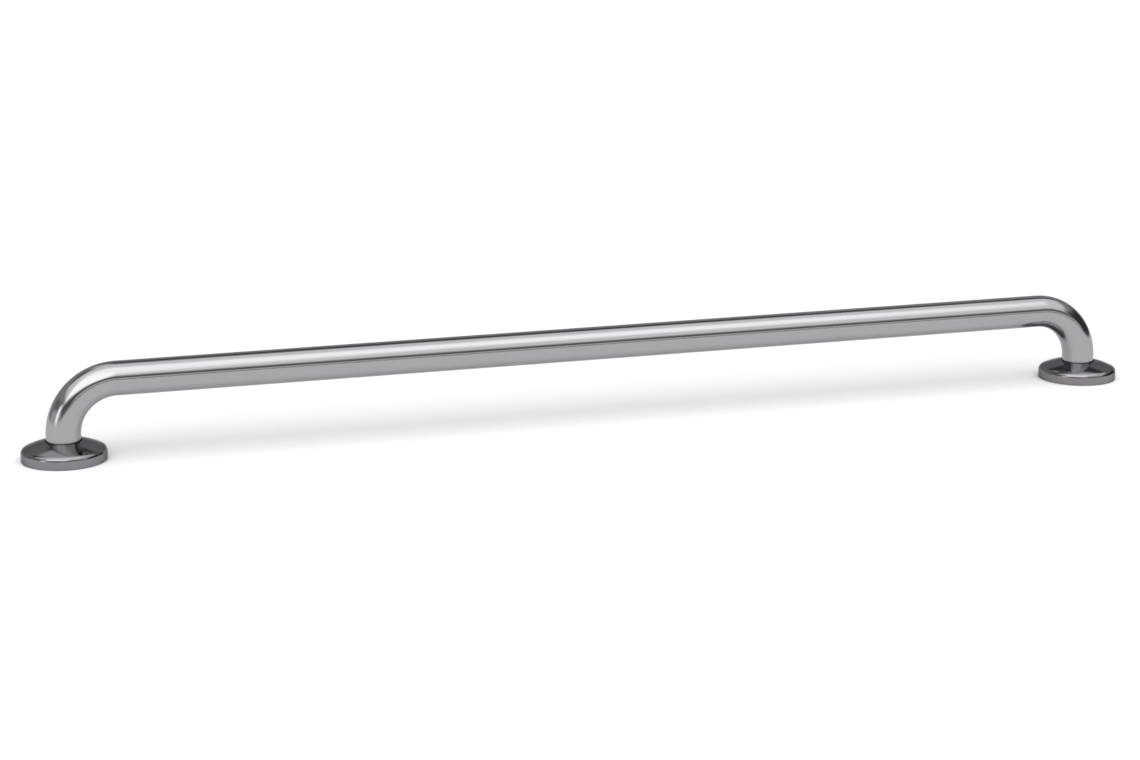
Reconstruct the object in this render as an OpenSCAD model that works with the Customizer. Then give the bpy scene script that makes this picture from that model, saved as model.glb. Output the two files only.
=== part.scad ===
// Straight grab rail with concealed fixings.
//
// One length of thin-wall stainless tube is bent through a right angle at each
// end. Each leg ends flush with the underside of a drilled mounting plate that
// is welded to it, and a pressed push-on cover slides down the leg to hide the
// plate and its screws.
//
// +X runs along the hand grip and +Z points away from the wall or deck. The
// origin is on the mounting surface, halfway between the two legs.

/* [Rail tube] */
// Outside diameter of the tube
tube_od = 31.75; // [25:0.05:42]
// Wall thickness of the tube
tube_wall = 1.2; // [0.9:0.1:3]
// Distance between the axes of the two legs
centre_distance = 1025; // [300:5:1500]
// Centreline radius of each bend
bend_radius = 49; // [38:1:80]
// Straight leg that shows between the cover and the bend
leg_show = 4.8; // [4:0.1:60]

/* [Mounting plates] */
// Diameter of each mounting plate
plate_d = 75; // [62.5:0.5:95]
// Thickness of each mounting plate
plate_t = 3; // [2:0.1:5]
// Bevel round the plate's upper edge, which leads the cover on
plate_bevel = 0.5; // [0.2:0.1:1]
// Gap round the leg where it passes through its plate
plate_gap = 0.1; // [0.05:0.05:0.5]
// Width and height of the weld bead between leg and plate
weld_leg = 3; // [2:0.1:4]

/* [Screw holes] */
// Number of screw holes in each plate
hole_count = 3; // [2:1:6]
// Diameter of each screw hole
hole_d = 6.4; // [4:0.1:7]
// Distance from the plate's edge to the middle of a screw hole
hole_inset = 9; // [6:0.5:11]

/* [Push-on covers] */
// Sheet thickness of the covers
cover_wall = 0.8; // [0.5:0.05:1.2]
// Radial gap between a cover's rim and its plate
rim_gap = 0.45; // [0.2:0.05:1]
// Height of the straight rim
rim_h = 7.2; // [6:0.1:15]
// Outside radius of the shoulder between rim and crown
shoulder_r = 5.1; // [2:0.1:8]
// Radius of the domed crown
crown_r = 84; // [60:1:400]
// Radial gap between the hole in the crown and the leg
leg_gap = 0.7; // [0.3:0.05:1.5]

/* [Hidden] */
$fn = 120;

// How far a cutting shape runs past the face that it opens
cut_past = 1;

// Sides of the rail: -1 is the left foot, +1 the right foot
left = -1;
right = 1;

tube_r = tube_od / 2;
bore_r = tube_r - tube_wall;
plate_r = plate_d / 2;
hole_ring_r = plate_r - hole_inset;

// A cover's rim fits round the plate and its hole fits round the leg
cover_r = plate_r + rim_gap + cover_wall;
cover_hole_r = tube_r + leg_gap;

// Arc centres of the cover's profile: the shoulder's arc touches the rim and
// the crown, and the crown's centre is on the leg's axis
shoulder_x = cover_r - shoulder_r;
crown_z = rim_h - sqrt(pow(crown_r - shoulder_r, 2) - pow(shoulder_x, 2));
crown_top = crown_z + crown_r;
cover_h = crown_z + sqrt(pow(crown_r, 2) - pow(cover_hole_r, 2));

// The leg stays straight until it is clear of the seated cover
leg_straight = cover_h + leg_show;
axis_height = leg_straight + bend_radius;
bend_x = centre_distance / 2 - bend_radius;

// Moves a foot, drawn on the Z axis with its outboard side at +X, to its leg
module at_foot(side) {
    mirror([side < 0 ? 1 : 0, 0, 0])
        translate([centre_distance / 2, 0, 0])
            children();
}

// Solid bar that follows the rail's centreline, running on past both ends
module bent_bar(radius, past_end) {
    translate([-bend_x, 0, axis_height])
        rotate([0, 90, 0])
            cylinder(h = 2 * bend_x, r = radius);
    for (side = [left, right])
        mirror([side < 0 ? 1 : 0, 0, 0]) {
            translate([bend_x, 0, leg_straight])
                rotate([90, 0, 0])
                    rotate_extrude(angle = 90)
                        translate([bend_radius, 0])
                            circle(r = radius);
            translate([centre_distance / 2, 0, -past_end])
                cylinder(h = leg_straight + past_end, r = radius);
        }
}

// Hand grip, both bends and both legs in one length of tube
module rail_tube() {
    color("silver")
        difference() {
            bent_bar(tube_r, 0);
            bent_bar(bore_r, cut_past);
        }
}

// Flat ring round the foot of the leg, bevelled on its upper edge
module plate_blank() {
    rotate_extrude()
        polygon([
            [tube_r + plate_gap, 0],
            [plate_r, 0],
            [plate_r, plate_t - plate_bevel],
            [plate_r - plate_bevel, plate_t],
            [tube_r + plate_gap, plate_t]
        ]);
}

// Plate with its ring of screw holes, the first one on the outboard side
module mounting_plate(side) {
    color("darkgray")
        at_foot(side)
            difference() {
                plate_blank();
                for (i = [0 : hole_count - 1])
                    rotate([0, 0, i * 360 / hole_count])
                        translate([hole_ring_r, 0, -cut_past])
                            cylinder(h = plate_t + 2 * cut_past, d = hole_d);
            }
}

// Slightly domed bead in the corner between the leg and its plate
module weld_bead(side) {
    color("dimgray")
        at_foot(side)
            translate([0, 0, plate_t])
                rotate_extrude()
                    translate([tube_r, 0])
                        intersection() {
                            square(weld_leg);
                            translate([-weld_leg, -weld_leg])
                                circle(r = weld_leg * sqrt(5));
                        }
}

// Half section of the cover's form, set inwards by inset and solid to the
// axis, that runs on past its foot by past
module cover_form(inset, past) {
    // Rim
    translate([0, -past])
        square([cover_r - inset, rim_h + past]);
    // Shoulder
    intersection() {
        translate([shoulder_x, rim_h])
            circle(r = shoulder_r - inset);
        translate([0, -past])
            square([cover_r, crown_top + past]);
    }
    // Crown, out to the ray on which it meets the shoulder
    intersection() {
        translate([0, crown_z])
            circle(r = crown_r - inset, $fn = 4 * $fn);
        polygon([
            [0, 0],
            [shoulder_x, 0],
            [shoulder_x, rim_h],
            [shoulder_x * (crown_top - crown_z) / (rim_h - crown_z), crown_top],
            [0, crown_top]
        ]);
    }
}

// Pressed cover: a straight rim, a rounded shoulder and a domed crown with a
// hole for the leg
module cover(side) {
    color("lightsteelblue")
        at_foot(side)
            rotate_extrude()
                difference() {
                    cover_form(0, 0);
                    cover_form(cover_wall, cut_past);
                    translate([0, -cut_past])
                        square([cover_hole_r, crown_top + 2 * cut_past]);
                }
}

module left_mounting_plate() { mounting_plate(left); }
module right_mounting_plate() { mounting_plate(right); }
module left_weld_bead() { weld_bead(left); }
module right_weld_bead() { weld_bead(right); }
module left_cover() { cover(left); }
module right_cover() { cover(right); }

rail_tube();
left_mounting_plate();
right_mounting_plate();
left_weld_bead();
right_weld_bead();
left_cover();
right_cover();
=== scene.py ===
import logging
import math
from collections.abc import Callable
from dataclasses import dataclass
from enum import Enum

import bmesh
import bpy
from mathutils import Matrix, Vector


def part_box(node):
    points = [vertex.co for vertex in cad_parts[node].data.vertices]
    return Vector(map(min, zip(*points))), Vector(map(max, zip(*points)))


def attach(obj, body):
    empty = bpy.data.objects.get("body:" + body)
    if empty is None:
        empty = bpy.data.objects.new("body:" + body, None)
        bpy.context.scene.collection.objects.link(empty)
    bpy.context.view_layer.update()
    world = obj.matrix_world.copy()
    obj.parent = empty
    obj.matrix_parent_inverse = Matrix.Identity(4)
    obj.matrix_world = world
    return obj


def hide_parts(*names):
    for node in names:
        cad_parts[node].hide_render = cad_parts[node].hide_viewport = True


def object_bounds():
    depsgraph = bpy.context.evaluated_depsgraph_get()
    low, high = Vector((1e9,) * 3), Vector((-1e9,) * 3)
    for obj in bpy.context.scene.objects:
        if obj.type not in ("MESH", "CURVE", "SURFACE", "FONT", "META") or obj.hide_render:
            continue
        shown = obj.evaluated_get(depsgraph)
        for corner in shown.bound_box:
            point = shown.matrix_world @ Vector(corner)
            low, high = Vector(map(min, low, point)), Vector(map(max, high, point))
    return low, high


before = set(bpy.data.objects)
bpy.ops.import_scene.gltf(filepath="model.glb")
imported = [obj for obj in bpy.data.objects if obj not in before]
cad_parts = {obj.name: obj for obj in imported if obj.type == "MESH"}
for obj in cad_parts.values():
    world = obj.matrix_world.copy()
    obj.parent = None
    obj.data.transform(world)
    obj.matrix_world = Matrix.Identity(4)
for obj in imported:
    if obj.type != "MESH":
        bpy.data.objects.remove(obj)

CAD_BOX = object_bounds()
MM = 0.001
# How far each piece stays inside its CAD box, so that rounding never takes it past.
HAIR = 0.001 * MM
LOG = logging.getLogger("grab_rail")

Place = tuple[float, float, float]
Colour = tuple[float, float, float]


class Side(Enum):
    """The two feet of the rail."""

    LEFT = "left"
    RIGHT = "right"

    @property
    def sign(self) -> int:
        """Which way along X this foot lies."""
        return -1 if self is Side.LEFT else 1


class Lay(Enum):
    """The way that polishing marks run, as the stretch of their pattern on each axis."""

    AROUND_TUBE = (2600.0, 26.0, 26.0)
    UP_RIM = (1500.0, 1500.0, 30.0)
    ROLLED_SHEET = (40.0, 900.0, 900.0)
    EVEN = (420.0, 420.0, 420.0)


def middle_of(node: str) -> Vector:
    """Finds the middle of a CAD node's box.

    Args:
        node: The CAD node's name.

    Returns:
        The middle of its box, in metres.
    """
    low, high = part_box(node)
    return (Vector(low) + Vector(high)) / 2


def foot_of(side: Side) -> Vector:
    """Finds where a leg's axis meets the mounting surface.

    Args:
        side: The foot.

    Returns:
        That point, in metres.
    """
    middle = middle_of(f"{side.value}_cover")
    return Vector((middle.x, 0.0, CAD_BOX[0].z))


# ---------------------------------------------------------------------------
# Bench work: what every piece is shaped with
# ---------------------------------------------------------------------------


def put_down_all() -> None:
    """Leaves nothing selected."""
    bpy.ops.object.select_all(action="DESELECT")


def take_up(piece: bpy.types.Object) -> None:
    """Makes one piece the only one selected, and active.

    Args:
        piece: The piece.
    """
    put_down_all()
    piece.select_set(True)
    bpy.context.view_layer.objects.active = piece


def name_new(name: str) -> bpy.types.Object:
    """Names the piece just added and settles its place into its mesh.

    Args:
        name: The piece's name.

    Returns:
        The piece, with its object at the origin.
    """
    piece = bpy.context.object
    piece.name = name
    piece.data.name = name
    bpy.ops.object.transform_apply(location=True, rotation=True, scale=True)
    return piece


def select_points(wanted: Callable[[Vector], bool]) -> None:
    """Selects the open mesh's points by their place.

    Args:
        wanted: Says whether a point at this place is selected.
    """
    mesh = bmesh.from_edit_mesh(bpy.context.object.data)
    mesh.select_mode = {"VERT"}
    for point in mesh.verts:
        point.select_set(wanted(point.co))
    mesh.select_flush_mode()
    bmesh.update_edit_mesh(bpy.context.object.data)


def close_up(piece: bpy.types.Object) -> None:
    """Merges doubled points, turns the faces outwards and leaves edit mode.

    Args:
        piece: The piece, open in edit mode.
    """
    bpy.ops.mesh.select_all(action="SELECT")
    bpy.ops.mesh.remove_doubles(threshold=1e-6)
    bpy.ops.mesh.normals_make_consistent(inside=False)
    bpy.ops.object.mode_set(mode="OBJECT")
    piece.data.update()


def apply_modifier(piece: bpy.types.Object, kind: str, **settings: object) -> None:
    """Adds one modifier and applies it.

    Args:
        piece: The piece to modify.
        kind: The modifier's type.
        **settings: Its settings by name.
    """
    take_up(piece)
    modifier = piece.modifiers.new(kind.title(), kind)
    for key, value in settings.items():
        setattr(modifier, key, value)
    bpy.ops.object.modifier_apply(modifier=modifier.name)


def break_edges(piece: bpy.types.Object, width: float, angle_deg: float = 60.0) -> None:
    """Rounds off every edge sharper than the angle.

    Args:
        piece: The piece.
        width: The width of the rounded edge.
        angle_deg: The angle, in degrees.
    """
    apply_modifier(piece, "BEVEL", width=width, segments=2, limit_method="ANGLE",
                   angle_limit=math.radians(angle_deg))


def smooth(piece: bpy.types.Object, angle_deg: float = 32.0) -> None:
    """Shades a piece smooth, except over edges sharper than the angle."""
    take_up(piece)
    bpy.ops.object.shade_smooth_by_angle(angle=math.radians(angle_deg))


class Outline:
    """An outline drawn from one point in edit mode, then turned round an axis."""

    def __init__(self, name: str, start: Place) -> None:
        """Puts down the first point.

        Args:
            name: The piece's name.
            start: Where the outline starts.
        """
        put_down_all()
        bpy.ops.mesh.primitive_plane_add(size=MM, location=start)
        self.piece = name_new(name)
        bpy.ops.object.mode_set(mode="EDIT")
        bpy.ops.mesh.select_all(action="SELECT")
        bpy.ops.mesh.merge(type="CENTER")

    def line(self, step: Place) -> None:
        """Draws a straight line from the last point by this step."""
        bpy.ops.mesh.extrude_vertices_move(TRANSFORM_OT_translate={"value": step})

    def arc(self, centre: Place, angle: float, steps: int) -> None:
        """Draws an arc in the XZ plane from the last point.

        Args:
            centre: The arc's centre.
            angle: How far it turns, positive from +X towards +Z.
            steps: How many straight steps stand for it.
        """
        bpy.ops.mesh.spin(steps=steps, angle=angle, center=centre, axis=(0, 1, 0))

    def turn(self, centre: Place, steps: int) -> bpy.types.Object:
        """Turns the whole outline once round an upright axis.

        Args:
            centre: A point on the axis.
            steps: How many steps the turn takes.

        Returns:
            The turned piece, out of edit mode.
        """
        bpy.ops.mesh.select_all(action="SELECT")
        bpy.ops.mesh.spin(steps=steps, angle=math.tau, center=centre, axis=(0, 0, 1), use_auto_merge=True)
        close_up(self.piece)
        return self.piece


# ---------------------------------------------------------------------------
# Finishes
# ---------------------------------------------------------------------------


MIX_COLOURS = (6, 7)
MIX_COLOUR_RESULT = 2
MIX_VECTORS = (4, 5)
MIX_VECTOR_RESULT = 1


class Sheet:
    """One material's or group's nodes, with short calls to add and join them."""

    def __init__(self, tree: bpy.types.NodeTree) -> None:
        """Takes the tree to draw in."""
        self.tree = tree

    def add(self, kind: str, **settings: object) -> bpy.types.Node:
        """Adds a node.

        Args:
            kind: The node's type, without ShaderNode.
            **settings: Its settings by name.

        Returns:
            The new node.
        """
        node = self.tree.nodes.new(f"ShaderNode{kind}")
        for key, value in settings.items():
            setattr(node, key, value)
        return node

    def join(self, start: bpy.types.NodeSocket, end: bpy.types.NodeSocket) -> None:
        """Joins two sockets."""
        self.tree.links.new(start, end)

    def feed(self, node: bpy.types.Node, **inputs: object) -> bpy.types.Node:
        """Sets or joins a node's inputs by name, with _ for each space.

        Args:
            node: The node.
            **inputs: A socket to join, or a value to set.

        Returns:
            The same node.
        """
        for key, value in inputs.items():
            socket = node.inputs[key.replace("_", " ")]
            if isinstance(value, bpy.types.NodeSocket):
                self.join(value, socket)
            else:
                socket.default_value = value
        return node

    def maths(self, operation: str, first: object, second: object = 0.0) -> bpy.types.NodeSocket:
        """Adds a Math node.

        Args:
            operation: What it works out.
            first: Its first value or socket.
            second: Its second value or socket.

        Returns:
            Its result.
        """
        node = self.add("Math", operation=operation)
        for socket, value in zip(node.inputs, (first, second)):
            if isinstance(value, bpy.types.NodeSocket):
                self.join(value, socket)
            else:
                socket.default_value = value
        return node.outputs[0]

    def spread(self, value: bpy.types.NodeSocket, low: float, high: float,
               to_low: float, to_high: float) -> bpy.types.NodeSocket:
        """Carries a value from one range to another, and keeps it there.

        Args:
            value: The value.
            low: The value that becomes to_low.
            high: The value that becomes to_high.
            to_low: The new range's start.
            to_high: The new range's end.

        Returns:
            The result.
        """
        node = self.add("MapRange", clamp=True)
        self.join(value, node.inputs["Value"])
        for key, number in zip(("From Min", "From Max", "To Min", "To Max"), (low, high, to_low, to_high)):
            node.inputs[key].default_value = number
        return node.outputs["Result"]

    def blend(self, share: bpy.types.NodeSocket, first: object, second: object) -> bpy.types.NodeSocket:
        """Mixes two colours.

        Args:
            share: How much of the second colour.
            first: A colour or socket.
            second: A colour or socket.

        Returns:
            The mixed colour.
        """
        node = self.add("Mix", data_type="RGBA")
        self.join(share, node.inputs["Factor"])
        for number, value in zip(MIX_COLOURS, (first, second)):
            socket = node.inputs[number]
            if isinstance(value, bpy.types.NodeSocket):
                self.join(value, socket)
            else:
                socket.default_value = (*value, 1.0)
        return node.outputs[MIX_COLOUR_RESULT]


def new_group(name: str, takes: dict[str, str],
              gives: dict[str, str]) -> tuple[Sheet, bpy.types.Node, bpy.types.Node]:
    """Starts a shader node group with named inputs and outputs.

    Args:
        name: The group's name.
        takes: Socket type by input name.
        gives: Socket type by output name.

    Returns:
        The group's sheet, its input node and its output node.
    """
    tree = bpy.data.node_groups.new(name, "ShaderNodeTree")
    for way, sockets in (("INPUT", takes), ("OUTPUT", gives)):
        for key, kind in sockets.items():
            tree.interface.new_socket(name=key, in_out=way, socket_type=f"NodeSocket{kind}")
    sheet = Sheet(tree)
    return sheet, tree.nodes.new("NodeGroupInput"), tree.nodes.new("NodeGroupOutput")


def polishing_marks() -> bpy.types.NodeTree:
    """Builds the group for fine marks left by a belt or a mop.

    Returns:
        A group that takes a Place already stretched along the marks, and gives
        Marks, the fine lines, and Bands, the broader unevenness between passes.
    """
    sheet, taken, given = new_group(
        "polishing_marks", {"Place": "Vector"}, {"Marks": "Float", "Bands": "Float"})
    place = taken.outputs["Place"]
    fine = sheet.feed(sheet.add("TexNoise"), Vector=place, Scale=1.0, Detail=3.0, Roughness=0.6)
    broad = sheet.feed(sheet.add("TexNoise"), Vector=place, Scale=0.06, Detail=2.0)
    sheet.join(fine.outputs["Fac"], given.inputs["Marks"])
    lowest = 0.3
    highest = 0.7
    sheet.join(sheet.spread(broad.outputs["Fac"], lowest, highest, 0.0, 1.0), given.inputs["Bands"])
    return sheet.tree


def handling_smudges() -> bpy.types.NodeTree:
    """Builds the group for the faint clouding that hands and cloths leave.

    Returns:
        A group that takes a Place and a Scale and gives a Smudge mask.
    """
    sheet, taken, given = new_group(
        "handling_smudges", {"Place": "Vector", "Scale": "Float"}, {"Smudge": "Float"})
    cloud = sheet.feed(sheet.add("TexNoise"), Vector=taken.outputs["Place"], Scale=taken.outputs["Scale"],
                       Detail=4.0, Roughness=0.55, Distortion=0.4)
    clean = 0.42
    smudged = 0.68
    sheet.join(sheet.spread(cloud.outputs["Fac"], clean, smudged, 0.0, 1.0), given.inputs["Smudge"])
    return sheet.tree


def heat_tint() -> bpy.types.NodeTree:
    """Builds the group for the colours that welding leaves on stainless steel.

    Returns:
        A group that takes a Distance from the weld in metres and gives a Colour
        and a Tint mask.
    """
    sheet, taken, given = new_group("heat_tint", {"Distance": "Float"}, {"Colour": "Color", "Tint": "Float"})
    ramp = sheet.add("ValToRGB")
    stops = ((0.0, (0.20, 0.18, 0.20)), (0.25, (0.16, 0.20, 0.34)), (0.45, (0.30, 0.18, 0.26)),
             (0.65, (0.45, 0.30, 0.14)), (1.0, (0.50, 0.47, 0.40)))
    while len(ramp.color_ramp.elements) < len(stops):
        ramp.color_ramp.elements.new(0.5)
    for element, (place, colour) in zip(ramp.color_ramp.elements, stops):
        element.position = place
        element.color = (*colour, 1.0)
    reach = 7 * MM
    fade_from = 0.55
    strength = 0.85
    share = sheet.spread(taken.outputs["Distance"], 0.0, reach, 0.0, 1.0)
    sheet.join(share, ramp.inputs["Fac"])
    sheet.join(ramp.outputs["Color"], given.inputs["Colour"])
    sheet.join(sheet.spread(share, fade_from, 1.0, strength, 0.0), given.inputs["Tint"])
    return sheet.tree


@dataclass(frozen=True)
class SharedEffects:
    """The node groups that more than one finish uses."""

    marks: bpy.types.NodeTree
    smudges: bpy.types.NodeTree
    heat: bpy.types.NodeTree

    @classmethod
    def build(cls) -> "SharedEffects":
        """Builds each group once."""
        return cls(polishing_marks(), handling_smudges(), heat_tint())


CLOUDS_PER_METRE = 22.0
MARK_HEIGHT = 0.02 * MM


@dataclass(frozen=True)
class Steel:
    """A stainless steel finish.

    Attributes:
        name: The material's name.
        colour: Its reflected colour.
        shade: The darker colour in the marks.
        roughness: How much it blurs what it reflects.
        unevenness: How far roughness varies over the surface.
        lay: Which way its polishing marks run.
        relief: The depth of its marks.
        stretch: How far its highlights stretch across its marks.
        edge_tint: How much it still reflects where it turns away from the eye.
    """

    name: str
    colour: Colour
    shade: Colour
    roughness: float
    unevenness: float
    lay: Lay
    relief: float
    stretch: float = 0.0
    edge_tint: float = 0.5

    def place(self, sheet: Sheet, centre: Vector) -> bpy.types.NodeSocket:
        """Gives the place on the piece, measured from a centre.

        Args:
            sheet: The material's sheet.
            centre: The point that becomes zero.

        Returns:
            The place, in metres.
        """
        coordinates = sheet.add("TexCoord")
        mapping = sheet.feed(sheet.add("Mapping"), Vector=coordinates.outputs["Object"])
        mapping.inputs["Location"].default_value = -centre
        return mapping.outputs["Vector"]

    def make(self, effects: SharedEffects, centre: Vector = Vector()) -> bpy.types.Material:
        """Builds the material.

        Args:
            effects: The shared node groups.
            centre: The point that the pattern is measured from.

        Returns:
            The material.
        """
        material = bpy.data.materials.new(self.name)
        material.use_nodes = True
        sheet = Sheet(material.node_tree)
        shader = material.node_tree.nodes["Principled BSDF"]
        shader.inputs["Metallic"].default_value = 1.0
        shader.inputs["Anisotropic"].default_value = self.stretch
        shader.inputs["Specular Tint"].default_value = (self.edge_tint, self.edge_tint, self.edge_tint, 1.0)
        place = self.place(sheet, centre)
        marks = sheet.add("Group", node_tree=effects.marks)
        sheet.join(self.marks_place(sheet, place), marks.inputs["Place"])
        smudges = sheet.feed(sheet.add("Group", node_tree=effects.smudges), Place=place,
                             Scale=CLOUDS_PER_METRE)
        colour = sheet.blend(marks.outputs["Marks"], self.shade, self.colour)
        passes = sheet.spread(marks.outputs["Bands"], 0.0, 1.0, -self.unevenness, self.unevenness)
        clouded = sheet.spread(smudges.outputs["Smudge"], 0.0, 1.0, self.roughness,
                               self.roughness + 2 * self.unevenness)
        sheet.join(self.tinted(sheet, effects, place, colour), shader.inputs["Base Color"])
        sheet.join(sheet.maths("ADD", passes, clouded), shader.inputs["Roughness"])
        bump = sheet.feed(sheet.add("Bump"), Height=marks.outputs["Marks"], Strength=self.relief,
                          Distance=MARK_HEIGHT)
        sheet.join(bump.outputs["Normal"], shader.inputs["Normal"])
        self.finish(sheet, shader)
        return material

    def stretched(self, sheet: Sheet, place: bpy.types.NodeSocket, lay: Lay) -> bpy.types.NodeSocket:
        """Stretches a place along the marks.

        Args:
            sheet: The material's sheet.
            place: The place on the piece.
            lay: The way that the marks run.

        Returns:
            The stretched place.
        """
        product = sheet.add("VectorMath", operation="MULTIPLY")
        sheet.join(place, product.inputs[0])
        product.inputs[1].default_value = lay.value
        return product.outputs["Vector"]

    def marks_place(self, sheet: Sheet, place: bpy.types.NodeSocket) -> bpy.types.NodeSocket:
        """Gives the stretched place that the marks follow."""
        return self.stretched(sheet, place, self.lay)

    def tinted(self, sheet: Sheet, effects: SharedEffects, place: bpy.types.NodeSocket,
               colour: bpy.types.NodeSocket) -> bpy.types.NodeSocket:
        """Adds any tint to the colour: none, unless a finish says otherwise."""
        return colour

    def finish(self, sheet: Sheet, shader: bpy.types.Node) -> None:
        """Adds what only some finishes have: nothing, unless a finish says otherwise."""

    def heated(self, sheet: Sheet, effects: SharedEffects, away: bpy.types.NodeSocket,
               colour: bpy.types.NodeSocket) -> bpy.types.NodeSocket:
        """Tints a colour by its distance from a weld.

        Args:
            sheet: The material's sheet.
            effects: The shared node groups.
            away: The distance from the weld.
            colour: The colour so far.

        Returns:
            The tinted colour.
        """
        heat = sheet.feed(sheet.add("Group", node_tree=effects.heat), Distance=away)
        return sheet.blend(heat.outputs["Tint"], colour, heat.outputs["Colour"])


@dataclass(frozen=True)
class SatinTube(Steel):
    """The belted tube: its marks follow the bends, and the welded feet are tinted by heat.

    Attributes:
        weld_top: The height of the weld's upper edge.
        highlight_low: The height from which the legs carry painted highlight streaks, lighter upright lines
            where the legs leave the covers.
        highlight_high: The height up to which they do.
        highlight_fade: The height over which the painted highlight streaks fade at both ends.
        highlight_share: How much of the painted highlight streaks' colour shows.
        highlight_start: The value in the marks' pattern where a painted highlight streak starts.
        highlight_full: The value in the marks' pattern where a painted highlight streak is full.
        highlight_colour: The brighter colour of the painted highlight streaks.
    """

    weld_top: float = 6 * MM
    highlight_low: float = 16 * MM
    highlight_high: float = 27 * MM
    highlight_fade: float = 3 * MM
    highlight_share: float = 0.25
    highlight_start: float = 0.56
    highlight_full: float = 0.66
    # Painted highlight: the lighter colour of the upright streaks on the legs.
    highlight_colour: Colour = (0.44, 0.44, 0.45)

    def marks_place(self, sheet: Sheet, place: bpy.types.NodeSocket) -> bpy.types.NodeSocket:
        """Gives the stretched place on the tube as it was before it was bent."""
        straight = sheet.add("Attribute", attribute_name="straight_place").outputs["Vector"]
        return self.stretched(sheet, straight, self.lay)

    def tinted(self, sheet: Sheet, effects: SharedEffects, place: bpy.types.NodeSocket,
               colour: bpy.types.NodeSocket) -> bpy.types.NodeSocket:
        """Tints the foot of each leg above its weld, and paints lighter upright streaks on the legs where they
        leave the covers: a painted highlight.

        Args:
            sheet: The material's sheet.
            effects: The shared node groups.
            place: The place on the piece.
            colour: The colour so far.

        Returns:
            The tinted colour.
        """
        height = sheet.feed(sheet.add("SeparateXYZ"), Vector=place).outputs["Z"]
        streaks = sheet.add("Group", node_tree=effects.marks)
        sheet.join(self.stretched(sheet, place, Lay.UP_RIM), streaks.inputs["Place"])
        # Painted highlight: lighter upright streaks on each leg between these heights.
        above = sheet.spread(height, self.highlight_low, self.highlight_low + self.highlight_fade, 0.0, 1.0)
        below = sheet.spread(height, self.highlight_high - self.highlight_fade, self.highlight_high, 1.0, 0.0)
        highlight_band = sheet.maths("MULTIPLY", above, below)
        lines = sheet.spread(streaks.outputs["Marks"], self.highlight_start, self.highlight_full, 0.0, self.highlight_share)
        colour = sheet.blend(sheet.maths("MULTIPLY", highlight_band, lines), colour, self.highlight_colour)
        return self.heated(sheet, effects, sheet.maths("SUBTRACT", height, self.weld_top), colour)

    def finish(self, sheet: Sheet, shader: bpy.types.Node) -> None:
        """Turns the highlights to stretch along the tube, across its marks."""
        along = sheet.add("Tangent", direction_type="UV_MAP", uv_map="along_tube")
        sheet.join(along.outputs["Tangent"], shader.inputs["Tangent"])


@dataclass(frozen=True)
class WeldedPlate(Steel):
    """The plate's mill finish, with rings of heat tint round its weld.

    Attributes:
        weld_edge: The radius of the weld's outer edge.
    """

    weld_edge: float = 18.875 * MM

    def tinted(self, sheet: Sheet, effects: SharedEffects, place: bpy.types.NodeSocket,
               colour: bpy.types.NodeSocket) -> bpy.types.NodeSocket:
        """Tints the plate round its weld.

        Args:
            sheet: The material's sheet.
            effects: The shared node groups.
            place: The place on the piece.
            colour: The colour so far.

        Returns:
            The tinted colour.
        """
        flat = sheet.add("VectorMath", operation="MULTIPLY")
        sheet.join(place, flat.inputs[0])
        flat.inputs[1].default_value = (1.0, 1.0, 0.0)
        reach = sheet.add("VectorMath", operation="LENGTH")
        sheet.join(flat.outputs["Vector"], reach.inputs[0])
        away = sheet.maths("SUBTRACT", reach.outputs["Value"], self.weld_edge)
        return self.heated(sheet, effects, away, colour)


@dataclass(frozen=True)
class PressedCover(Steel):
    """The polished cover: fine upright marks on its rim, faint rings on its crown.

    Attributes:
        rim: The height where the rim ends.
        shoulder: The height over which its marks give way to the crown's rings.
        ring_scale: How closely the rings stand.
    """

    rim: float = 7.2 * MM
    shoulder: float = 2 * MM
    ring_scale: float = 1100.0

    def marks_place(self, sheet: Sheet, place: bpy.types.NodeSocket) -> bpy.types.NodeSocket:
        """Gives the stretched place on the rim, and one that runs round the crown above it.

        Args:
            sheet: The material's sheet.
            place: The place on the piece.

        Returns:
            The stretched place.
        """
        apart = sheet.feed(sheet.add("SeparateXYZ"), Vector=place)
        squares = [sheet.maths("MULTIPLY", apart.outputs[key], apart.outputs[key]) for key in "XY"]
        reach = sheet.maths("SQRT", sheet.maths("ADD", *squares))
        rings = sheet.add("CombineXYZ")
        sheet.join(sheet.maths("MULTIPLY", reach, self.ring_scale), rings.inputs["X"])
        on_crown = sheet.spread(apart.outputs["Z"], self.rim, self.rim + self.shoulder, 0.0, 1.0)
        both = sheet.add("Mix", data_type="VECTOR")
        sheet.join(on_crown, both.inputs["Factor"])
        on_rim = self.stretched(sheet, place, self.lay)
        for number, socket in zip(MIX_VECTORS, (on_rim, rings.outputs["Vector"])):
            sheet.join(socket, both.inputs[number])
        return both.outputs[MIX_VECTOR_RESULT]


# ---------------------------------------------------------------------------
# The rail's pieces
# ---------------------------------------------------------------------------


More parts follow.
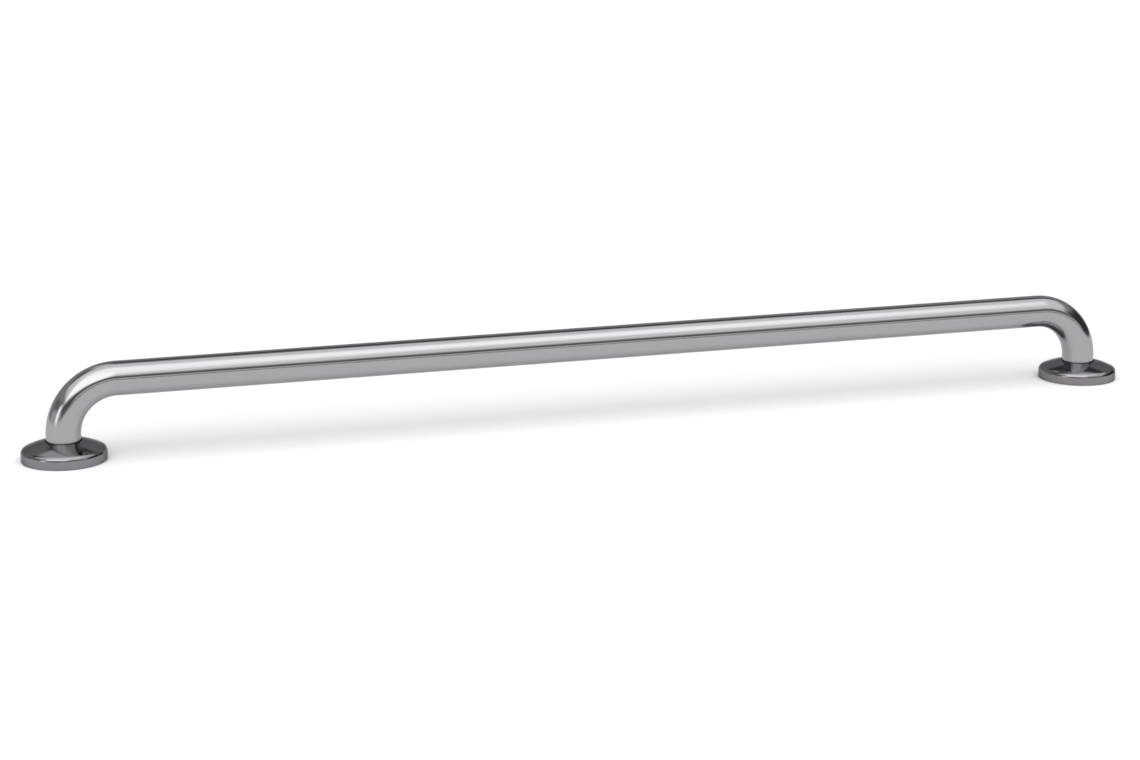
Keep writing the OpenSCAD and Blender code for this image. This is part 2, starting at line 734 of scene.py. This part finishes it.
@dataclass
class RailTube:
    """The one bent tube: grip, bends and legs.

    Attributes:
        radius: Its outside radius.
        wall: Its wall thickness.
        bend: The centreline radius of each bend.
        edge: The width of its broken end edges.
        around: How many flats stand for its round.
        bend_steps: How many steps stand for each bend.
    """

    radius: float = 15.875 * MM
    wall: float = 1.2 * MM
    bend: float = 49 * MM
    edge: float = 0.2 * MM
    around: int = 128
    bend_steps: int = 40

    def __post_init__(self) -> None:
        """Works out the places on the rail from the frame."""
        self.half_span = foot_of(Side.RIGHT).x
        self.axis_height = CAD_BOX[1].z - self.radius - HAIR
        self.leg = self.axis_height - self.bend
        self.reach = self.half_span - self.bend

    def build(self) -> bpy.types.Object:
        """Draws the tube's ring along its centreline, from the left foot to the right.

        Returns:
            The finished tube.
        """
        put_down_all()
        bpy.ops.mesh.primitive_circle_add(
            vertices=self.around, radius=self.radius, location=(-self.half_span, 0.0, HAIR))
        tube = name_new("bent_tube")
        bpy.ops.object.mode_set(mode="EDIT")
        bpy.ops.mesh.select_all(action="SELECT")
        self.run((0.0, 0.0, self.leg - HAIR))
        self.turn(-self.reach)
        self.run((2 * self.reach, 0.0, 0.0))
        self.turn(self.reach)
        self.run((0.0, 0.0, HAIR - self.leg))
        close_up(tube)
        apply_modifier(tube, "SOLIDIFY", thickness=self.wall, offset=-1.0)
        break_edges(tube, self.edge)
        smooth(tube)
        self.mark_straight_places(tube)
        return tube

    def run(self, step: Place) -> None:
        """Draws the open end straight on by this step."""
        bpy.ops.mesh.extrude_edges_move(TRANSFORM_OT_translate={"value": step})

    def turn(self, centre_x: float) -> None:
        """Draws the open end round one bend."""
        bpy.ops.mesh.spin(steps=self.bend_steps, angle=-math.pi / 2, center=(centre_x, 0.0, self.leg),
                          axis=(0, 1, 0))

    def mark_straight_places(self, tube: bpy.types.Object) -> None:
        """Stores where each point was on the straight tube, and unrolls the tube along its length.

        Args:
            tube: The finished tube.
        """
        places = tube.data.attributes.new("straight_place", "FLOAT_VECTOR", "POINT")
        for point, mark in zip(tube.data.vertices, places.data):
            mark.vector = self.straight_place(point.co)
        unrolled = tube.data.uv_layers.new(name="along_tube")
        for corner, mark in zip(tube.data.loops, unrolled.data):
            place = places.data[corner.vertex_index].vector
            mark.uv = (place.x, math.atan2(place.y, place.z) * self.radius)

    def straight_place(self, point: Vector) -> Vector:
        """Works out where a point was before the tube was bent.

        Args:
            point: A point on the bent tube.

        Returns:
            Its distance along the tube from the middle, then its place across it.
        """
        quarter = self.bend * math.pi / 2
        if abs(point.x) <= self.reach:
            return Vector((point.x, point.y, point.z - self.axis_height))
        out = math.copysign(1.0, point.x)
        across = abs(point.x) - self.reach
        above = point.z - self.leg
        if above <= 0.0:
            return Vector((out * (self.reach + quarter - above), point.y, across - self.bend))
        turned = math.atan2(across, above)
        return Vector((out * (self.reach + self.bend * turned), point.y, math.hypot(across, above) - self.bend))


@dataclass
class Cover:
    """A pressed push-on cover: rim, shoulder and domed crown, with a hole for the leg.

    Attributes:
        side: The foot that it covers.
        wall: Its sheet thickness.
        rim: The height of its straight rim.
        shoulder: The outside radius between rim and crown.
        crown: The radius of its domed crown.
        hole: The radius of the hole in its crown.
        edge: The width of its broken edges.
        shoulder_steps: How many steps stand for its shoulder.
        crown_steps: How many steps stand for its crown.
        around: How many flats stand for its round.
    """

    side: Side
    wall: float = 0.8 * MM
    rim: float = 7.2 * MM
    shoulder: float = 5.1 * MM
    crown: float = 84 * MM
    hole: float = 16.575 * MM
    edge: float = 0.15 * MM
    shoulder_steps: int = 14
    crown_steps: int = 16
    around: int = 192

    def build(self) -> bpy.types.Object:
        """Draws half the cover's section and turns it round the leg.

        Returns:
            The finished cover.
        """
        low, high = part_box(f"{self.side.value}_cover")
        radius = (high[1] - low[1]) / 2 - HAIR
        foot = foot_of(self.side)
        inset = radius - self.shoulder
        drop = math.sqrt((self.crown - self.shoulder) ** 2 - inset ** 2)
        crown_centre = (foot.x, 0.0, foot.z + self.rim - drop)
        outer_ray = math.atan2(inset, drop)
        inner_ray = math.asin(self.hole / self.crown)
        outline = Outline(f"{self.side.value}_push_on_cover", (foot.x + radius, 0.0, foot.z))
        outline.line((0.0, 0.0, self.rim))
        outline.arc((foot.x + inset, 0.0, foot.z + self.rim), math.pi / 2 - outer_ray,
                    self.shoulder_steps)
        outline.arc(crown_centre, outer_ray - inner_ray, self.crown_steps)
        cover = outline.turn(tuple(foot), self.around)
        apply_modifier(cover, "SOLIDIFY", thickness=self.wall, offset=-1.0)
        break_edges(cover, self.edge)
        smooth(cover)
        return cover


@dataclass
class MountingPlate:
    """A round plate with a hole for the leg and a ring of screw holes.

    Attributes:
        side: The foot that it holds down.
        radius: Its outside radius.
        thickness: Its thickness.
        bevel: The bevel round its upper edge.
        bore: The radius of the hole for the leg.
        screw_ring: The radius of the circle that the screw holes stand on.
        screw_hole: The radius of each screw hole.
        screws: The number of screw holes.
        edge: The width of its broken edges.
        around: How many flats stand for its round.
        hole_around: How many flats stand for each screw hole's round.
    """

    side: Side
    radius: float = 37.5 * MM
    thickness: float = 3 * MM
    bevel: float = 0.5 * MM
    bore: float = 15.975 * MM
    screw_ring: float = 28.5 * MM
    screw_hole: float = 3.2 * MM
    screws: int = 3
    edge: float = 0.12 * MM
    around: int = 144
    hole_around: int = 48

    def build(self) -> bpy.types.Object:
        """Turns the plate's section, drills it and breaks its sharp edges.

        Returns:
            The finished plate.
        """
        foot = foot_of(self.side)
        outline = Outline(f"{self.side.value}_drilled_plate", (foot.x + self.bore, 0.0, foot.z))
        outline.line((self.radius - self.bore, 0.0, 0.0))
        outline.line((0.0, 0.0, self.thickness - self.bevel))
        outline.line((-self.bevel, 0.0, self.bevel))
        outline.line((self.bore + self.bevel - self.radius, 0.0, 0.0))
        outline.line((0.0, 0.0, -self.thickness))
        plate = outline.turn(tuple(foot), self.around)
        for number in range(self.screws):
            turn = number * math.tau / self.screws
            away = self.side.sign * self.screw_ring
            middle = foot.z + self.thickness / 2
            self.drill(plate, (foot.x + away * math.cos(turn), away * math.sin(turn), middle))
        break_edges(plate, self.edge, angle_deg=40.0)
        smooth(plate, angle_deg=25.0)
        return plate

    def drill(self, plate: bpy.types.Object, place: Place) -> None:
        """Drills one screw hole right through the plate.

        Args:
            plate: The plate.
            place: The middle of the hole.
        """
        put_down_all()
        bpy.ops.mesh.primitive_cylinder_add(
            vertices=self.hole_around, radius=self.screw_hole, depth=2 * self.thickness, location=place)
        drill = name_new("screw_drill")
        apply_modifier(plate, "BOOLEAN", object=drill, operation="DIFFERENCE", solver="EXACT")
        bpy.data.objects.remove(drill)


@dataclass
class WeldBead:
    """The rippled weld in the corner between the leg and its plate.

    Attributes:
        side: The foot that it belongs to.
        inner: The radius of the leg that it is laid against.
        leg: Its width and height.
        plate: The thickness of the plate that it stands on.
        ripples: How many ripples it has round the leg.
        dip: How far it sinks between two ripples.
        sink_steps: How many steps that takes.
        margin: The strip along each of its edges that stays as it is.
        lean: How far a ripple leans over its height, in ripples.
        face_steps: How many steps stand for its rounded face.
        around: How many flats stand for its round.
    """

    side: Side
    inner: float = 15.875 * MM
    leg: float = 3 * MM
    plate: float = 3 * MM
    ripples: int = 34
    dip: float = 0.3 * MM
    sink_steps: int = 4
    margin: float = 0.3 * MM
    lean: float = 0.5
    face_steps: int = 10
    around: int = 340

    def build(self) -> bpy.types.Object:
        """Turns the bead's section round the leg, then sinks the gaps between its ripples.

        Returns:
            The finished bead.
        """
        foot = foot_of(self.side)
        floor = foot.z + self.plate
        start = math.atan2(self.leg, 2 * self.leg)
        outline = Outline(f"{self.side.value}_rippled_weld", (foot.x + self.inner, 0.0, floor))
        outline.line((self.leg, 0.0, 0.0))
        centre = (foot.x + self.inner - self.leg, 0.0, floor - self.leg)
        outline.arc(centre, math.pi / 2 - 2 * start, self.face_steps)
        outline.line((0.0, 0.0, -self.leg))
        weld = outline.turn(tuple(foot), self.around)
        self.ripple(weld, foot, floor)
        smooth(weld, angle_deg=50.0)
        return weld

    def ripple(self, weld: bpy.types.Object, foot: Vector, floor: float) -> None:
        """Sinks the bead's face a little deeper, step by step, towards the middle of each gap.

        Args:
            weld: The bead.
            foot: The point where the leg's axis meets the mounting surface.
            floor: The height of the plate's face.
        """
        take_up(weld)
        bpy.ops.object.mode_set(mode="EDIT")
        slant = self.lean / self.leg
        for step in range(self.sink_steps):
            least = math.cos(math.pi * (self.sink_steps - step) / (self.sink_steps + 1))

            def in_gap(place: Vector) -> bool:
                """Says whether a point lies on the bead's face, this near a gap's middle."""
                reach = math.hypot(place.x - foot.x, place.y) - self.inner
                rise = place.z - floor
                turn = math.atan2(place.y, place.x - foot.x)
                wave = math.cos(turn * self.ripples + math.tau * slant * rise)
                return reach > self.margin and rise > self.margin and wave > least

            select_points(in_gap)
            bpy.ops.transform.shrink_fatten(value=-self.dip / self.sink_steps)
        bpy.ops.object.mode_set(mode="OBJECT")


# ---------------------------------------------------------------------------
# Studio
# ---------------------------------------------------------------------------


@dataclass(frozen=True)
class Camera:
    """The camera, aimed at a point near the middle of the rail.

    Attributes:
        aim: The point that it looks at.
        distance: How far it stands from that point.
        azimuth: Its turn to the right of straight ahead, in radians.
        elevation: How far above the rail it stands, in radians.
        roll: Its small lean, in radians.
        lens: Its focal length in millimetres.
        near: The nearest distance that it sees.
        far: The farthest distance that it sees.
    """

    aim: Place = (-0.032301, 0.0, 0.037713)
    distance: float = 2.501216
    azimuth: float = 0.318897
    elevation: float = 0.239656
    roll: float = 0.001431
    lens: float = 82.735
    near: float = 0.05
    far: float = 100.0

    def build(self) -> None:
        """Stands the camera in its place and makes it the scene's."""
        data = bpy.data.cameras.new("studio_camera")
        data.lens = self.lens
        data.clip_start = self.near
        data.clip_end = self.far
        camera = bpy.data.objects.new("studio_camera", data)
        bpy.context.scene.collection.objects.link(camera)
        ahead = Vector((math.sin(self.azimuth) * math.cos(self.elevation),
                        math.cos(self.azimuth) * math.cos(self.elevation), -math.sin(self.elevation)))
        right = Vector((math.cos(self.azimuth), -math.sin(self.azimuth), 0.0))
        up = right.cross(ahead)
        leaning_right = math.cos(self.roll) * right + math.sin(self.roll) * up
        leaning_up = math.cos(self.roll) * up - math.sin(self.roll) * right
        turned = Matrix((leaning_right, leaning_up, -ahead)).transposed().to_4x4()
        camera.matrix_world = Matrix.Translation(Vector(self.aim) - self.distance * ahead) @ turned
        bpy.context.scene.camera = camera


def far_panel() -> bpy.types.NodeTree:
    """Builds the group for one flat panel that stands far off in the studio.

    Returns:
        A group that takes the way looked, the panel's three axes and its half
        sizes for a distance of one, and gives a Mask that is one inside it.
    """
    sheet, taken, given = new_group(
        "far_panel",
        {"Way": "Vector", "Right": "Vector", "Up": "Vector", "Ahead": "Vector",
         "Half Width": "Float", "Half Height": "Float", "Soft Edge": "Float"},
        {"Mask": "Float"})
    nearly_side_on = 0.02

    def along(axis: str) -> bpy.types.NodeSocket:
        """Measures the way looked along one of the panel's axes.

        Args:
            axis: The axis's input name.

        Returns:
            The measure.
        """
        product = sheet.add("VectorMath", operation="DOT_PRODUCT")
        sheet.join(taken.outputs["Way"], product.inputs[0])
        sheet.join(taken.outputs[axis], product.inputs[1])
        return product.outputs["Value"]

    def within(axis: str, half: str) -> bpy.types.NodeSocket:
        """Tells whether the way looked passes between a pair of the panel's edges.

        Args:
            axis: The input name of the axis across that pair.
            half: The input name of the half size along it.

        Returns:
            One between the edges and nought beyond them.
        """
        reach = sheet.maths("ABSOLUTE", sheet.maths("DIVIDE", along(axis), depth))
        edge = sheet.add("MapRange", interpolation_type="SMOOTHSTEP")
        outer = sheet.maths("ADD", taken.outputs[half], taken.outputs["Soft Edge"])
        inner = sheet.maths("SUBTRACT", taken.outputs[half], taken.outputs["Soft Edge"])
        for key, socket in (("Value", reach), ("From Min", outer), ("From Max", inner)):
            sheet.join(socket, edge.inputs[key])
        return edge.outputs["Result"]

    depth = sheet.maths("MAXIMUM", along("Ahead"), nearly_side_on)
    in_front = sheet.maths("GREATER_THAN", along("Ahead"), nearly_side_on)
    inside = sheet.maths("MULTIPLY", within("Right", "Half Width"), within("Up", "Half Height"))
    sheet.join(sheet.maths("MULTIPLY", inside, in_front), given.inputs["Mask"])
    return sheet.tree


@dataclass(frozen=True)
class Panel:
    """One soft-edged light panel or dark flag, far from the rail.

    Attributes:
        name: What it is.
        azimuth: Its turn to the right of straight behind the rail, in degrees.
        elevation: Its height above the horizon, in degrees.
        half_width: Half its width, in degrees.
        half_height: Half its height, in degrees.
        soft: How softly its edges fade, as a share of its distance.
        glow: Its brightness.
    """

    name: str
    azimuth: float
    elevation: float
    half_width: float
    half_height: float
    soft: float
    glow: float

    def place(self, sheet: Sheet, group: bpy.types.NodeTree, way: bpy.types.NodeSocket,
              room: object) -> bpy.types.NodeSocket:
        """Stands the panel in front of what the room shows so far.

        Args:
            sheet: The room's sheet.
            group: The far_panel group.
            way: The way looked.
            room: The room's brightness so far.

        Returns:
            The room's brightness with the panel in it.
        """
        turn, rise = math.radians(self.azimuth), math.radians(self.elevation)
        ahead = Vector((math.sin(turn) * math.cos(rise), math.cos(turn) * math.cos(rise), math.sin(rise)))
        right = Vector((math.cos(turn), -math.sin(turn), 0.0))
        panel = sheet.add("Group", node_tree=group, label=self.name)
        sheet.feed(panel, Way=way, Right=right, Up=right.cross(ahead), Ahead=ahead, Soft_Edge=self.soft,
                   Half_Width=math.tan(math.radians(self.half_width)),
                   Half_Height=math.tan(math.radians(self.half_height)))
        return sheet.blend(panel.outputs["Mask"], room, (self.glow, self.glow, self.glow))


@dataclass
class Studio:
    """The pale floor, the light and the camera.

    Attributes:
        floor_size: The floor's width and depth.
        floor_gap: How far it lies below the feet.
        floor_shade: Its darker shade.
        floor_colour: Its lighter shade.
        floor_clouds: How many clouds of shade it has on each metre.
        back_wall: The brightness of the room where no panel stands.
        panels: The light panels and dark flags, each in front of those before it.
    """

    floor_size: float = 60.0
    floor_gap: float = 0.02 * MM
    floor_shade: Colour = (0.86, 0.86, 0.86)
    floor_colour: Colour = (0.89, 0.89, 0.89)
    floor_clouds: float = 1.2
    back_wall: float = 0.45
    panels: tuple[Panel, ...] = (
        Panel("low_back_glow", 20.0, 1.0, 60.0, 10.0, 0.12, 0.72),
        Panel("low_left_glow", -98.0, 3.0, 28.0, 13.0, 0.06, 0.80),
        Panel("left_flag", -92.0, 20.0, 34.0, 6.0, 0.05, 0.26),
        Panel("left_bright_strip", -115.0, 3.0, 8.0, 16.0, 0.05, 2.20),
        Panel("dark_strip_behind", 38.0, 49.7, 31.0, 8.5, 0.07, 0.12),
        Panel("dark_strip_behind_left", -46.0, 50.0, 15.0, 9.0, 0.07, 0.15),
        Panel("bright_strip_behind", -9.0, 62.0, 8.0, 15.0, 0.07, 1.05),
        Panel("overhead_softbox", 180.0, 71.0, 55.0, 43.0, 0.16, 1.36),
        Panel("bright_heart", 183.0, 70.0, 32.0, 17.0, 0.20, 2.30),
        Panel("front_left_softbox", -152.0, 43.0, 27.0, 18.0, 0.12, 2.60),
        Panel("right_flag", 93.0, 10.0, 30.0, 15.0, 0.07, 0.06),
        Panel("low_front_glow", 180.0, 8.0, 60.0, 2.8, 0.03, 1.00),
        Panel("front_flag", 180.0, 17.0, 52.0, 4.5, 0.04, 0.18),
        Panel("front_left_flag", -148.0, 11.0, 14.0, 8.0, 0.05, 0.14),
    )

    def build(self) -> None:
        """Sets out the studio."""
        self.lay_floor()
        self.light_room()
        Camera().build()

    def lay_floor(self) -> None:
        """Lays the floor just under the feet."""
        put_down_all()
        level = CAD_BOX[0].z - self.floor_gap
        bpy.ops.mesh.primitive_plane_add(size=self.floor_size, location=(0.0, 0.0, level))
        floor = name_new("studio_floor")
        material = bpy.data.materials.new("pale_floor")
        material.use_nodes = True
        sheet = Sheet(material.node_tree)
        shader = material.node_tree.nodes["Principled BSDF"]
        coordinates = sheet.add("TexCoord")
        cloud = sheet.feed(sheet.add("TexNoise"), Vector=coordinates.outputs["Object"],
                           Scale=self.floor_clouds, Detail=2.0)
        shade = sheet.blend(cloud.outputs["Fac"], self.floor_shade, self.floor_colour)
        sheet.join(shade, shader.inputs["Base Color"])
        shader.inputs["Roughness"].default_value = 0.9
        shader.inputs["Specular IOR Level"].default_value = 0.1
        floor.data.materials.append(material)

    def light_room(self) -> None:
        """Lights the room with its panels, which stand too far off to light the floor unevenly."""
        world = bpy.data.worlds.new("studio_room")
        world.use_nodes = True
        sheet = Sheet(world.node_tree)
        way = sheet.add("TexCoord").outputs["Generated"]
        group = far_panel()
        room: object = (self.back_wall, self.back_wall, self.back_wall)
        for panel in self.panels:
            room = panel.place(sheet, group, way, room)
        sheet.join(room, world.node_tree.nodes["Background"].inputs["Color"])
        bpy.context.scene.world = world
        bpy.context.scene.view_settings.view_transform = "Standard"


# ---------------------------------------------------------------------------


def hand_over(piece: bpy.types.Object, node: str, body: str, material: bpy.types.Material) -> None:
    """Dresses a new piece and puts it in its CAD node's place.

    Args:
        piece: The new piece.
        node: The CAD node that it stands for.
        body: The body that it moves with.
        material: Its finish.
    """
    piece.data.materials.clear()
    piece.data.materials.append(material)
    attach(piece, body)
    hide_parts(node)
    LOG.info("%s rides on %s: %d faces", piece.name, body, len(piece.data.polygons))


def dress_foot(side: Side, effects: SharedEffects) -> None:
    """Builds one foot's cover, plate and weld, and hands them over.

    Args:
        side: The foot.
        effects: The shared node groups.
    """
    foot = foot_of(side)
    # The cover's colour is set darker than the tube's: painted shade that dims what its polished crown
    # reflects.
    polish = PressedCover(
        f"{side.value}_polished_cover", colour=(0.244, 0.238, 0.252), shade=(0.214, 0.209, 0.222),
        roughness=0.07, unevenness=0.012, lay=Lay.UP_RIM, relief=0.12)
    mill = WeldedPlate(
        f"{side.value}_plate_steel", colour=(0.42, 0.42, 0.43), shade=(0.34, 0.34, 0.35),
        roughness=0.32, unevenness=0.05, lay=Lay.ROLLED_SHEET, relief=0.3)
    bead = Steel(
        f"{side.value}_weld_metal", colour=(0.38, 0.35, 0.33), shade=(0.24, 0.23, 0.25),
        roughness=0.30, unevenness=0.06, lay=Lay.EVEN, relief=0.3)
    cover, plate, weld = (f"{side.value}_{part}" for part in ("cover", "mounting_plate", "weld_bead"))
    hand_over(Cover(side).build(), cover, cover, polish.make(effects, foot))
    hand_over(MountingPlate(side).build(), plate, "rail", mill.make(effects, foot))
    hand_over(WeldBead(side).build(), weld, "rail", bead.make(effects, foot))


def main() -> None:
    """Builds the rail and its studio."""
    logging.basicConfig(level=logging.INFO, format="%(message)s")
    effects = SharedEffects.build()
    satin = SatinTube(
        "satin_tube", colour=(0.377, 0.374, 0.387), shade=(0.352, 0.350, 0.362), roughness=0.11,
        unevenness=0.012, lay=Lay.AROUND_TUBE, relief=0.03, stretch=0.55, edge_tint=0.75)
    hand_over(RailTube().build(), "rail_tube", "rail", satin.make(effects))
    for side in Side:
        dress_foot(side, effects)
    Studio().build()


if __name__ == "__main__":
    main()
